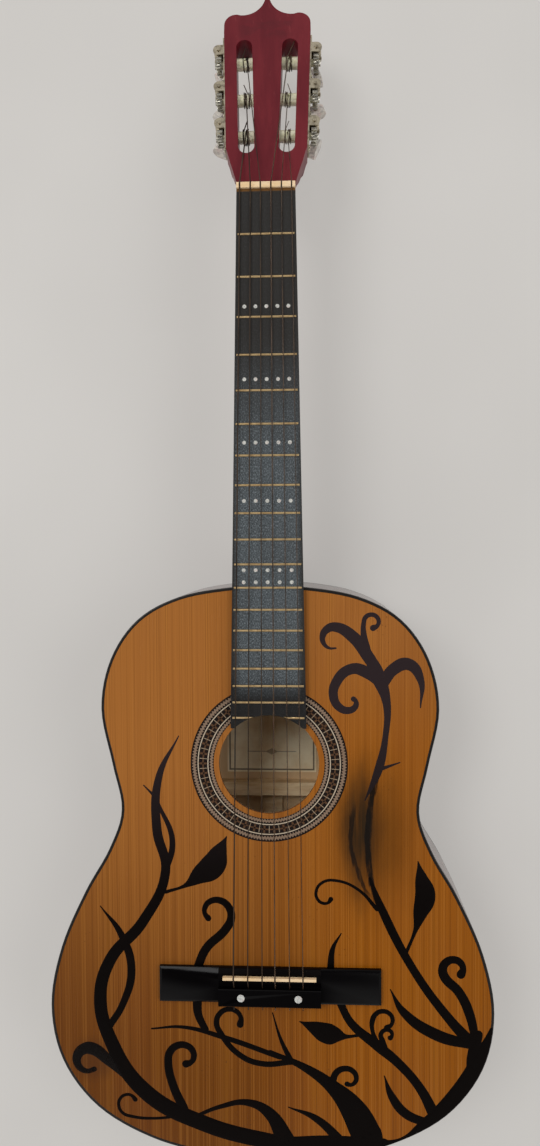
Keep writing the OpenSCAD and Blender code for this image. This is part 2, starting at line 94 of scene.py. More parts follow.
class Value:
    """A shader socket that Python's arithmetic works on: each operation adds its Math node."""

    def __init__(self, finish, socket):
        self.finish = finish
        self.socket = socket

    def math(self, operation, *operands):
        return self.finish.node("ShaderNodeMath", {"operation": operation}, dict(enumerate(operands)))

    def __add__(self, other):
        return self.math("ADD", self, other)

    def __sub__(self, other):
        return self.math("SUBTRACT", self, other)

    def __rsub__(self, other):
        return self.math("SUBTRACT", other, self)

    def __mul__(self, other):
        return self.math("MULTIPLY", self, other)

    def __truediv__(self, other):
        return self.math("DIVIDE", self, other)

    def __pow__(self, other):
        return self.math("POWER", self, other)

    def __gt__(self, other):
        return self.math("GREATER_THAN", self, other)

    def __lt__(self, other):
        return self.math("LESS_THAN", self, other)

    __radd__ = __add__
    __rmul__ = __mul__

    def size(self):
        return self.math("ABSOLUTE", self)

    def fraction(self):
        return self.math("FRACT", self)

    def most(self, other):
        return self.math("MAXIMUM", self, other)

    def least(self, other):
        return self.math("MINIMUM", self, other)

    def rise(self, low, high):
        """0 under low, 1 over high and smooth between; a low that is above high turns it round."""
        if low > high:
            return 1 - self.rise(high, low)
        return self.finish.node("ShaderNodeMapRange", {"interpolation_type": "SMOOTHSTEP"},
                                {0: self, 1: low, 2: high, 3: 0.0, 4: 1.0})

    def band(self, centre, half, soft):
        """1 within half of centre, falling to 0 over soft."""
        return (self - centre).size().rise(half + soft, half)


class Shading:
    """A node tree under construction, with its coordinates to hand."""

    def __init__(self, tree, coordinates="Object"):
        self.tree = tree
        self.tree.nodes.clear()
        self.x, self.y, self.z = self.parts(self.node("ShaderNodeTexCoord", {}, {}, coordinates))

    def node(self, kind, settings, inputs, output=0):
        """Any node: its settings first, then the values or links of its sockets."""
        made = self.tree.nodes.new(kind)
        for name, setting in settings.items():
            setattr(made, name, setting)
        for key, given in inputs.items():
            if isinstance(given, Value):
                self.tree.links.new(given.socket, made.inputs[key])
            else:
                made.inputs[key].default_value = given
        return Value(self, made.outputs[output]) if output is not None else made

    def parts(self, vector):
        """The three numbers of a vector."""
        split = self.node("ShaderNodeSeparateXYZ", {}, {0: vector}).socket.node
        return [Value(self, socket) for socket in split.outputs]

    def vector(self, x, y, z=0.0):
        return self.node("ShaderNodeCombineXYZ", {}, {0: x, 1: y, 2: z})

    def stretched(self, along_x, along_y, along_z=0.0):
        """Object coordinates drawn out by a factor on each axis."""
        return self.vector(self.x * along_x, self.y * along_y, self.z * along_z)

    def noise(self, vector, detail=3.0, roughness=0.5, distortion=0.0):
        return self.node("ShaderNodeTexNoise", {}, {"Vector": vector, "Scale": 1.0, "Detail": detail,
                                                    "Roughness": roughness, "Distortion": distortion})

    def cells(self, vector):
        """Distance to the nearest of scattered points."""
        return self.node("ShaderNodeTexVoronoi", {}, {"Vector": vector, "Scale": 1.0})

    def mix(self, factor, first, second):
        """first where factor is 0 and second where it is 1."""
        return self.node("ShaderNodeMix", {"data_type": "RGBA"}, {0: factor, 6: first, 7: second}, 2)

    def bump(self, height, distance, strength=1.0):
        return self.node("ShaderNodeBump", {}, {"Height": height, "Distance": distance, "Strength": strength})


class Finish(Shading):
    """A material under construction, on one Principled shader."""

    def __init__(self, name):
        self.material = bpy.data.materials.new(name)
        self.material.use_nodes = True
        super().__init__(self.material.node_tree)
        self.shader = self.node("ShaderNodeBsdfPrincipled", {}, {})
        self.node("ShaderNodeOutputMaterial", {}, {"Surface": self.shader}, None)

    def set(self, **sockets):
        """Values or links for the Principled shader, with underscores for spaces in its sockets' names."""
        shader = self.shader.socket.node
        for name, given in sockets.items():
            socket = shader.inputs[name.replace("_", " ")]
            if isinstance(given, Value):
                self.tree.links.new(given.socket, socket)
            else:
                socket.default_value = given
        return self.material


# -------------------------------- finishes


def spruce_finish(look):
    """Aged amber lacquer on book-matched spruce, smeared dark at the treble waist; bare wood underneath."""
    f = Finish("amber_spruce")
    across = f.x.size() + f.noise(f.stretched(5, 1.8), 1.0) * 0.004
    rings = f.noise(f.vector(across * 1050, f.y * 0.9), 1.0, 0.5)
    bands = f.noise(f.vector(across * 120, f.y * 0.9), 3.0, 0.6)
    fibres = f.noise(f.vector(across * 2300, f.y * 24), 2.0)
    cloud = f.noise(f.stretched(11, 4.5), 3.0)
    # the amber darkens from the upper bout to the lower bout: partly the lacquer's own tone, partly painted
    # shade where the light falls off towards the tail
    lacquer = f.mix(f.y.rise(JOINT_Y - 0.12, JOINT_Y - 0.45), look.lacquer_upper_lit, look.lacquer_lower_shaded)
    lacquer = f.mix(f.x.rise(-0.04, 0.09) * f.y.rise(JOINT_Y - 0.02, JOINT_Y - 0.16) * 0.75, lacquer,
                    look.lacquer_gold)
    lacquer = f.mix(cloud.rise(0.42, 0.70) * 0.26, lacquer, srgb(122, 66, 30))
    lacquer = f.mix(bands.rise(0.52, 0.70) * 0.15, lacquer, srgb(100, 50, 4))
    lacquer = f.mix(bands.rise(0.48, 0.30) * 0.16, lacquer, srgb(186, 122, 40))
    lacquer = f.mix(rings.rise(0.53, 0.66) * 0.36, lacquer, srgb(86, 42, 2))
    lacquer = f.mix(rings.rise(0.46, 0.34) * 0.16, lacquer, srgb(198, 134, 62))
    lacquer = f.mix(fibres.rise(0.5, 0.8) * 0.10, lacquer, srgb(62, 30, 0))
    # the soundboard darkens towards the lower bass edge
    ragged = f.noise(f.stretched(60, 22), 4.0, 0.6)
    darkening = (f.x + f.y * 0.35).rise(place(-60, -400).x - 0.12, place(-60, -400).x - 0.26)
    lacquer = f.mix(darkening * 0.22, lacquer, srgb(70, 36, 14))

    def oval(x, y, half_x, half_y, raggedness):
        """How far out from an oval's middle, with about 1 at its ragged edge. Sizes are millimetres."""
        along_x, along_y = (f.x - place(x, 0).x) / (half_x * MM), (f.y - place(0, y).y) / (half_y * MM)
        return (along_x * along_x + along_y * along_y) ** 0.5 + (ragged - 0.5) * raggedness

    # smoky smear beside the sound hole, where two wet stems were wiped
    lacquer = f.mix(oval(88, -207, 38, 72, 0.5).rise(1.3, 0.1) * 0.62, lacquer, srgb(72, 42, 12))
    drag = f.noise(f.stretched(150, 9), 3.0, 0.6).rise(0.25, 0.62) * 0.45 + 0.55
    smear = oval(76, -204, 20, 60, 0.5).rise(1.3, 0.1) * drag
    lacquer = f.mix(smear * 0.95, lacquer, srgb(36, 24, 6))
    wiped = f.noise(f.stretched(240, 34), 3.0, 0.65)
    frayed = (wiped - 0.5) * 0.006

    def wiped_stem(x, y, bow, half, top, bottom):
        """What is left of a stem that bows away from x, y and fades out at its top and bottom ends.
        All are millimetres, but for bow, which is the curve's rise over its run squared, in metres."""
        run = f.y - place(0, y).y
        line = (f.x - x * MM - run * run * bow + frayed).band(0, half * MM, 0.0014)
        return line * f.y.rise(*(place(0, end).y for end in top)) \
            * f.y.rise(*(place(0, end).y for end in bottom))

    right_stem = wiped_stem(82.5, -212, 2.4, 1.7, (-150, -158), (-272, -256))
    left_stem = wiped_stem(68.2, -208, 5.8, 1.3, (-176, -196), (-268, -250))
    stems = right_stem.most(left_stem * 0.9) * (wiped.rise(0.25, 0.50) * 0.45 + 0.5)
    lacquer = f.mix(stems, lacquer, srgb(13, 9, 6))
    # a fainter haze round the wiped hook at the lower bass side
    haze = oval(-151, -404, 17, 16, 0.6).rise(1.5, 0.5)
    lacquer = f.mix(haze * 0.45, lacquer, srgb(58, 30, 12))
    specks = f.cells(f.stretched(230, 230)).rise(0.16, 0.07)
    specks = specks * f.noise(f.stretched(14, 14), 2.0).rise(0.54, 0.66)
    lacquer = f.mix(specks * 0.5, lacquer, srgb(60, 34, 16))
    bare = f.z.rise(TOP_Z - 0.0003, TOP_Z - 0.0006)
    # bare wood under the lacquer; faces more than 2.6 mm under the top are dark brown as painted shade, deep
    # in the sound hole's wall
    colour = f.mix(bare, lacquer, f.mix(f.z < TOP_Z - 0.0026, srgb(96, 52, 30), srgb(216, 182, 134)))
    scratches = f.noise(f.stretched(500, 40), 2.0)
    rough = smear * 0.16 + scratches * 0.10 + cloud * 0.06 + 0.18 + bare * 0.35
    height = rings * 0.5 + scratches * 0.25
    return f.set(Base_Color=colour, Roughness=rough, Specular_IOR_Level=0.2,
                 Normal=f.bump(height, 0.00010, 0.2))


def body_finish(look):
    """Dark red-brown lacquered wood outside, bare wood on the faces that look into the soundbox."""
    f = Finish("body_wood")
    grain = f.noise(f.vector(f.x * 60 + f.z * 260, f.y * 7, f.z * 160), 5.0, 0.62, 0.6)
    pores = f.noise(f.vector(f.x * 900 + f.z * 500, f.y * 60, f.z * 900), 2.0)
    colour = f.mix(grain.rise(0.32, 0.70), look.body_dark, look.body_light)
    colour = f.mix(pores.rise(0.60, 0.75) * 0.4, colour, srgb(30, 10, 7))
    nx, ny, nz = f.parts(f.node("ShaderNodeNewGeometry", {}, {}, "Normal"))
    inward = (f.x * nx + (f.y - place(0, -185).y) * ny) < -0.02
    inside = inward.most((nz > 0.7) * (f.z < TOP_Z - 0.02))
    inner = f.mix(grain, srgb(238, 208, 164), srgb(204, 168, 122))
    scuffs = f.noise(f.stretched(25, 25, 60), 6.0, 0.7).rise(0.62, 0.74)
    colour = f.mix(scuffs * 0.25, colour, srgb(120, 70, 52))
    colour = f.mix(inside, colour, inner)
    rough = inside * 0.5 + scuffs * 0.15 + grain * 0.08 + 0.15
    return f.set(Base_Color=colour, Roughness=rough, Coat_Weight=0.3, Coat_Roughness=0.08,
                 Normal=f.bump(pores, 0.0001, 0.25))


def neck_finish(look):
    """Cherry-red stained wood, streaked on the headstock and shadowed where old print has worn away."""
    f = Finish("cherry_neck")
    grain = f.noise(f.stretched(70, 5, 70), 4.0, 0.6, 0.4)
    pores = f.noise(f.stretched(1100, 70, 1100), 2.0)
    colour = f.mix(grain.rise(0.25, 0.78), look.neck_dark, look.neck_light)
    colour = f.mix(pores.rise(0.58, 0.74) * 0.14, colour, srgb(60, 12, 20))
    worn = f.noise(f.stretched(60, 120, 30), 5.0, 0.7)
    shadow = f.y.band(place(0, 474).y, 0.005, 0.006) * f.x.size().rise(0.030, 0.016) * worn.rise(0.38, 0.62)
    colour = f.mix(shadow * 0.30, colour, srgb(62, 26, 30))
    streak = f.noise(f.stretched(380, 16, 380), 2.0).rise(0.66, 0.74) * (f.y > NUT_Y)
    colour = f.mix(streak * 0.2, colour, srgb(146, 70, 70))
    return f.set(Base_Color=colour, Roughness=worn * 0.16 + 0.26, Specular_IOR_Level=0.15,
                 Normal=f.bump(pores + worn * 0.4, 0.00008, 0.3))


def bare_wood_finish():
    """Unfinished lining and brace wood, a little dusty."""
    f = Finish("bare_wood")
    grain = f.noise(f.stretched(30, 220, 220), 4.0, 0.6)
    dust = f.noise(f.stretched(60, 60, 60), 5.0)
    colour = f.mix(grain.rise(0.35, 0.7), srgb(246, 220, 178), srgb(214, 178, 130))
    colour = f.mix(dust.rise(0.5, 0.8) * 0.3, colour, srgb(170, 150, 122))
    return f.set(Base_Color=colour, Roughness=0.75, Normal=f.bump(grain, 0.0002, 0.3))


def board_finish(look):
    """Near-black fingerboard, dark by the nut; worn and with a painted sheen, blue-grey and speckled under
    the playing hand.
    """
    f = Finish("worn_fingerboard")
    grain = f.noise(f.stretched(420, 9, 420), 4.0, 0.6)
    patches = f.noise(f.stretched(40, 16), 4.0, 0.6)
    speckle = f.noise(f.stretched(1500, 620, 1500), 2.0, 0.7)
    colour = f.mix(grain.rise(0.45, 0.75) * 0.4, look.board_dark, srgb(36, 33, 31))
    worn = f.y.rise(place(0, 215).y, place(0, 90).y) * f.y.rise(place(0, -96).y, place(0, -70).y)
    worn = worn * f.x.size().rise(0.0295, 0.0225)
    colour = f.mix(f.y.rise(place(0, -72).y, place(0, -84).y) * 0.6, colour, srgb(18, 17, 18))
    # where worn the board takes a blue-grey that is partly wear and partly a painted sheen
    colour = f.mix(worn * (patches.rise(0.25, 0.60) * 0.35 + 0.48), colour, look.board_worn_sheen)
    pale = speckle.rise(0.50, 0.66)
    dark = speckle.rise(0.48, 0.34)
    colour = f.mix(pale * (worn * 0.50 + 0.05), colour, srgb(150, 158, 164))
    colour = f.mix(dark * (worn * 0.50 + 0.10), colour, srgb(30, 33, 35))
    # glue line showing brown under the nut
    glue = f.y.rise(NUT_Y - 0.0026, NUT_Y - 0.0018)
    colour = f.mix(glue * 0.9, colour, srgb(112, 76, 34))
    rough = 0.55 - worn * 0.12 + grain * 0.1
    return f.set(Base_Color=colour, Roughness=rough, Specular_IOR_Level=0.15,
                 Normal=f.bump(grain + speckle * 0.6, 0.00015, 0.5))


def ebonised_finish():
    """Black lacquered bridge wood with a little dust low down."""
    f = Finish("black_bridge")
    grain = f.noise(f.stretched(12, 520, 520), 3.0)
    dust = f.noise(f.stretched(90, 90, 90), 6.0, 0.7)
    colour = f.mix(grain * 0.4, srgb(3, 2, 3), srgb(8, 6, 6))
    low = f.z.rise(TOP_Z + 0.003, TOP_Z + 0.0005)
    colour = f.mix(dust.rise(0.60, 0.80) * (low * 0.2 + 0.01), colour, srgb(86, 78, 68))
    return f.set(Base_Color=colour, Roughness=dust * 0.12 + 0.12, Specular_IOR_Level=0.1,
                 Normal=f.bump(grain, 0.00004, 0.15))


def binding_finish():
    """Black plastic binding, dulled and nicked."""
    f = Finish("black_binding")
    nicks = f.noise(f.stretched(120, 120, 120), 5.0, 0.7)
    colour = f.mix(nicks.rise(0.62, 0.72) * 0.4, srgb(13, 8, 6), srgb(74, 50, 36))
    return f.set(Base_Color=colour, Roughness=nicks * 0.2 + 0.22, Normal=f.bump(nicks, 0.0002, 0.25))


def pearl_finish(name, scale, tint, shade, blush=srgb(216, 176, 168)):
    """Marbled mother-of-pearl plastic."""
    f = Finish(name)
    warp = f.noise(f.stretched(scale * 0.6, scale * 0.6, scale * 0.6), 3.0, 0.6, 1.2) * 0.6
    drawn = f.vector(f.x * scale + warp, f.y * scale + warp * 0.7, f.z * scale)
    cloud = f.noise(drawn, 4.0, 0.6, 2.0)
    flakes = f.cells(f.vector(f.x * scale * 1.6 + warp, f.y * scale * 1.6, f.z * scale * 1.6))
    colour = f.mix(cloud.rise(0.36, 0.66), tint, shade)
    colour = f.mix(flakes.rise(0.25, 0.7) * 0.3, colour, srgb(240, 236, 222))
    blush_mask = f.noise(f.stretched(scale * 0.8, scale * 0.8, scale * 0.8), 2.0).rise(0.52, 0.68)
    colour = f.mix(blush_mask * 0.3, colour, blush)
    return f.set(Base_Color=colour, Roughness=cloud * 0.15 + 0.16, Coat_Weight=0.5, Coat_Roughness=0.08,
                 Normal=f.bump(cloud, 0.0002, 0.2))


def bone_finish(name, look, grooves):
    """Cream bone, darkened along its string grooves. grooves are their places across, in metres."""
    f = Finish(name)
    streaks = f.noise(f.stretched(70, 300, 300), 3.0)
    darkening = f.noise(f.stretched(210, 210, 210), 5.0, 0.7).rise(0.48, 0.72)
    colour = f.mix(streaks.rise(0.35, 0.7), look.bone, srgb(228, 194, 146))
    colour = f.mix(darkening * 0.3, colour, srgb(170, 128, 84))
    darker_marks = None
    # dark lines along the string grooves, where the strings cross the bone
    for groove in grooves:
        line = f.x.band(groove, 0.00045, 0.0003)
        darker_marks = line if darker_marks is None else darker_marks.most(line)
    colour = f.mix(darker_marks * 0.92, colour, srgb(40, 26, 14))
    return f.set(Base_Color=colour, Roughness=darkening * 0.2 + 0.3, Normal=f.bump(streaks, 0.0001, 0.2))


def metal_finish(name, bright, dull, base_rough, scale=220.0):
    """Worn plated metal: bright in places, dull and spotted in others."""
    f = Finish(name)
    tarnish = f.noise(f.stretched(scale, scale, scale), 5.0, 0.65)
    spots = f.cells(f.stretched(scale * 2.2, scale * 2.2, scale * 2.2)).rise(0.35, 0.12)
    mask = (tarnish.rise(0.42, 0.66) + spots * 0.35).least(1.0) * 0.6
    colour = f.mix(mask, bright, dull)
    return f.set(Base_Color=colour, Metallic=1 - mask * 0.35, Roughness=mask * 0.32 + base_rough,
                 Normal=f.bump(tarnish, 0.00008, 0.25))


def nylon_finish():
    """Clear nylon, dark brown partly from age and partly as painted shade of the strings' shadows."""
    f = Finish("nylon_string")
    darker_marks = f.noise(f.stretched(200, 40, 200), 3.0)
    colour = f.mix(darker_marks.rise(0.4, 0.7), srgb(84, 64, 48), srgb(50, 36, 26))
    return f.set(Base_Color=colour, Roughness=0.3, Specular_IOR_Level=0.3, Alpha=0.66)


def wound_finish():
    """Silvered copper winding, tarnished brown and darkened further as painted shade of the strings' shadows,
    with its fine turns in the bump.
    """
    f = Finish("wound_string")
    turns = ((f.y * 1800).fraction() - 0.5).size()
    tarnish = f.noise(f.stretched(90, 25, 90), 4.0)
    colour = f.mix(tarnish.rise(0.35, 0.7), srgb(66, 50, 36), srgb(36, 26, 18))
    return f.set(Base_Color=colour, Metallic=0.6, Roughness=tarnish * 0.2 + 0.3,
                 Normal=f.bump(turns, 0.00015, 0.6))


def rosette_finish(look):
    """Inlaid rings: dark chequered tiles between two pale lines, with a fine zigzag on each side."""
    f = Finish("rosette_inlay")
    dy = f.y - HOLE_Y
    radius = (f.x * f.x + dy * dy) ** 0.5 / MM
    turn = f.x.math("ARCTAN2", f.x, dy) / (2 * math.pi)
    black, brown, tan, pale = srgb(22, 14, 12), srgb(88, 62, 42), srgb(134, 112, 94), srgb(186, 170, 148)
    # five by five dice in each tile: a dark saltire on brown
    tiles_from, tiles_wide, dice = 52.4, 6.2, 5
    in_tile = (turn * look.rosette_tiles).fraction()
    column, row = in_tile * dice, (radius - tiles_from) / tiles_wide * dice
    column, row = column.math("FLOOR", column) - 2, row.math("FLOOR", row) - 2
    saltire = ((column.size() - row.size()).size() < 0.5).most((column.size() + row.size()) > 2.5)
    mosaic = f.mix(saltire, brown, black)
    between = (in_tile - 0.5).size() > 0.465
    mosaic = f.mix(between, mosaic, srgb(150, 132, 110))

    def zigzag(low, high, count):
        """Two rows of little triangles, one pointing in and one pointing out."""
        tooth = ((turn * count).fraction() - 0.5).size() * 2
        up = (radius - low) / (high - low) * 2
        inner, outer = tooth > up * 1.3, tooth < up * 1.3 - 1.6
        return f.mix(((up < 1) * inner).most((up > 1) * outer), tan, black)

    colour = f.mix(radius > 50.2, zigzag(46.6, 50.2, 126), black)
    for start, ring in ((50.9, pale), (51.8, black), (tiles_from, mosaic), (58.6, black), (59.2, pale),
                        (60.1, black), (60.8, zigzag(60.8, 65.0, 160)), (65.0, black)):
        colour = f.mix(radius > start, colour, ring)
    wear = f.noise(f.stretched(70, 70), 5.0, 0.65)
    colour = f.mix(wear.rise(0.50, 0.78) * 0.2, colour, srgb(104, 66, 36))
    return f.set(Base_Color=colour, Roughness=wear * 0.15 + 0.2, Specular_IOR_Level=0.35)


def paint_finish(look):
    """Black brushed-on paint with a little brush drag."""
    f = Finish("black_vine_paint")
    drag = f.noise(f.stretched(260, 260), 4.0, 0.6)
    thin = f.noise(f.stretched(45, 45), 4.0, 0.6).rise(0.58, 0.74)
    colour = f.mix(thin * 0.2, look.paint, srgb(26, 12, 7))
    # the paint turns lighter and greyer towards the neck as a painted sheen
    colour = f.mix(f.y.rise(JOINT_Y - 0.27, JOINT_Y - 0.09) * 0.85, colour, look.paint_sheen)
    return f.set(Base_Color=colour, Roughness=drag * 0.2 + 0.36, Specular_IOR_Level=0.06,
                 Normal=f.bump(drag, 0.00012, 0.3))


def rubbed_paint_finish(look):
    """The same paint where it was rubbed while wet, so that the lacquer shows through."""
    f = Finish("rubbed_vine_paint")
    blotches = f.noise(f.stretched(60, 60), 4.0, 0.6)
    return f.set(Base_Color=look.paint, Roughness=0.45, Specular_IOR_Level=0.12,
                 Alpha=blotches.rise(0.25, 0.50) * 0.40 + 0.55)


def label_finish():
    """Aged paper with a plain dark border, a line and a lozenge, and no lettering."""
    f = Finish("plain_label")
    low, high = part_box("label")
    middle_x, middle_y = (low[0] + high[0]) / 2, (low[1] + high[1]) / 2
    from_side = (high[0] - low[0]) / 2 - (f.x - middle_x).size()
    from_end = (high[1] - low[1]) / 2 - (f.y - middle_y).size()
    margin = from_side.least(from_end) / MM
    stains = f.noise(f.stretched(40, 40), 5.0, 0.6)
    paper = f.mix(stains.rise(0.35, 0.75), srgb(255, 242, 208), srgb(230, 206, 164))
    border = margin.band(2.4, 0.55, 0.3)
    colour = f.mix(border * 0.85, paper, srgb(66, 46, 32))
    rule = f.y.band(place(0, -160).y, 0.0003, 0.0002) * f.x.band(middle_x, 0.022, 0.002)
    lozenge = (f.x - middle_x).size() / 0.006 + (f.y - place(0, -160).y).size() / 0.003
    colour = f.mix(rule.most(lozenge.rise(1.08, 0.92)) * 0.6, colour, srgb(92, 66, 44))
    return f.set(Base_Color=colour, Roughness=0.8)


def floor_finish(look):
    """A plain pale floor. Half of what the camera sees of it is its own colour, so the shadow stays light."""
    f = Finish("pale_floor")
    haze = f.noise(f.stretched(3, 3), 2.0)
    colour = f.mix(haze.rise(0.3, 0.7), look.floor, srgb(211, 208, 204))
    f.set(Base_Color=colour, Roughness=0.85, Specular_IOR_Level=0.2)
    path = f.node("ShaderNodeLightPath", {}, {}).socket.node.outputs
    seen = Value(f, path["Is Camera Ray"]).most(Value(f, path["Is Glossy Ray"]))
    seen = seen.most(Value(f, path["Is Transmission Ray"]))
    glow = f.node("ShaderNodeEmission", {}, {"Color": colour, "Strength": 1.0})
    f.node("ShaderNodeOutputMaterial", {"is_active_output": True}, {
        "Surface": f.node("ShaderNodeMixShader", {}, {0: seen * 0.5, 1: f.shader, 2: glow})}, None)
    return f.material


# -------------------------------- mesh helpers


def object_from(mesh, name, finish, body):
    """Links a mesh as a piece that rides on a body."""
    mesh.name = name
    mesh.materials.clear()
    mesh.materials.append(finish)
    piece = bpy.data.objects.new(name, mesh)
    bpy.context.scene.collection.objects.link(piece)
    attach(piece, body)
    return piece


def smooth(mesh, angle=35.0):
    """Smooth shading, with the edges over angle kept sharp."""
    mesh.polygons.foreach_set("use_smooth", [True] * len(mesh.polygons))
    mesh.set_sharp_from_angle(angle=math.radians(angle))


def softened(node, finish, body, edge=0.0, segments=2):
    """A clean copy of a CAD node with smooth shading and, where edge is given, softly rounded edges."""
    mesh = frame["nodes"][node].data.copy()
    bm = bmesh.new()
    bm.from_mesh(mesh)
    bmesh.ops.remove_doubles(bm, verts=bm.verts, dist=0.000002)
    bmesh.ops.dissolve_limit(bm, angle_limit=math.radians(0.4), verts=bm.verts, edges=bm.edges,
                             use_dissolve_boundaries=False)
    bm.to_mesh(mesh)
    bm.free()
    smooth(mesh)
    piece = object_from(mesh, node + "_finished", finish, body)
    if edge:
        bevel = piece.modifiers.new("rounded_edges", "BEVEL")
        bevel.width = edge
        bevel.segments = segments
        bevel.limit_method = "ANGLE"
        bevel.angle_limit = math.radians(40.0)
        bevel.harden_normals = True
    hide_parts(node)
    return piece


def dress(node, finish):
    """Gives a CAD node that keeps its own mesh its finish."""
    mesh = frame["nodes"][node].data
    mesh.materials.clear()
    mesh.materials.append(finish)


def curve_mesh(name, strokes, sides=3):
    """A mesh of round strokes, each a smooth line through a list of (point, radius) in metres."""
    data = bpy.data.curves.new(name + "_path", "CURVE")
    data.dimensions = "3D"
    data.bevel_depth = 1.0
    data.bevel_resolution = sides
    data.use_fill_caps = True
    data.resolution_u = 10
    for stroke in strokes:
        spline = data.splines.new("BEZIER")
        spline.bezier_points.add(len(stroke) - 1)
        spline.radius_interpolation = "CARDINAL"
        for knot, (point, radius) in zip(spline.bezier_points, stroke):
            knot.co = point
            knot.radius = radius
            knot.handle_left_type = knot.handle_right_type = "AUTO"
    carrier = bpy.data.objects.new(name + "_path", data)
    bpy.context.scene.collection.objects.link(carrier)
    bpy.context.view_layer.update()
    graph = bpy.context.evaluated_depsgraph_get()
    mesh = bpy.data.meshes.new_from_object(carrier.evaluated_get(graph))
    bpy.data.objects.remove(carrier)
    bpy.data.curves.remove(data)
    return mesh


def thread_mesh(name, centre, axis, side, core, crest, half_length, pitch):
    """A screw thread spun round an axis from one tooth profile."""
    bm = bmesh.new()
    start = centre - axis * half_length
    # the tooth's corners: how far out, and how far along as a share of the pitch
    profile = [(core, 0.04), (core, 0.86), (crest, 0.58), (crest, 0.32)]
    corners = [bm.verts.new(start + side * r + axis * (pitch * h)) for r, h in profile]
    face = bm.faces.new(corners)
    turns = 2 * half_length / pitch - 0.9
    steps_a_turn = 28
    steps = int(turns * steps_a_turn)
    bmesh.ops.spin(bm, geom=[face, *face.edges, *face.verts], cent=centre, axis=axis,
                   dvec=axis * (pitch * turns / steps), angle=2 * math.pi * turns, steps=steps,
                   use_duplicate=False)
    bmesh.ops.recalc_face_normals(bm, faces=bm.faces)
    mesh = bpy.data.meshes.new(name)
    bm.to_mesh(mesh)
    bm.free()
    smooth(mesh, 40.0)
    return mesh


class Barrel:
    """A roller's own directions: out along its axis, over the headstock's face and along the headstock."""

    def __init__(self, k):
        joint = JOINTS[f"barrel_turn_{k}"]
        self.centre = Vector(joint["pos_m"])
        self.out = Vector(joint["axis"])
        self.up = Vector(JOINTS[f"key_turn_{k}"]["axis"])
        self.along = self.up.cross(self.out)
        if self.along.y < 0:
            self.along = -self.along
        self.radius = 5.0 * MM
        self.middle = -17.0 * MM

    def point(self, u, angle, radius):
        """A point u out along the axis and at an angle round it, where 90 degrees is over the face."""
        a = math.radians(angle)
        return (self.centre + self.out * u
                + (self.along * math.cos(a) + self.up * math.sin(a)) * radius)


# -------------------------------- painted scrollwork
# A brush stroke is a list of marks (x, y, width) in millimetres from the body joint. A stem is a few listed
# marks;
# curls and leaves are drawn by rule and join onto a stem's end.


def curl(eye, reach, inner, start, sweep, first, last):
    """Marks that wind in round an eye from reach to inner millimetres out, through sweep degrees from start.
    The line goes from first to last millimetres wide, and ends in a round bud."""
    steps = math.ceil(abs(sweep) / 45)
    marks = []
    for i in range(steps + 1):
        done = i / steps
        radius = reach * (inner / reach) ** done
        angle = math.radians(start + sweep * done)
        width = first + (last - first) * done if i < steps else last * 1.5
        marks.append((eye[0] + radius * math.cos(angle), eye[1] + radius * math.sin(angle), width))
    return marks


def leaf(tip, belly, neck, foot, width):
    """A leaf that swells from its tip to its belly, and narrows through its neck to a stalk's foot."""
    def between(a, b):
        return (a[0] + b[0]) / 2, (a[1] + b[1]) / 2
    return [(*tip, 1), (*between(tip, belly), 0.64 * width), (*belly, width),
            (*between(belly, neck), 0.72 * width), (*neck, 4), (*foot, 3)]


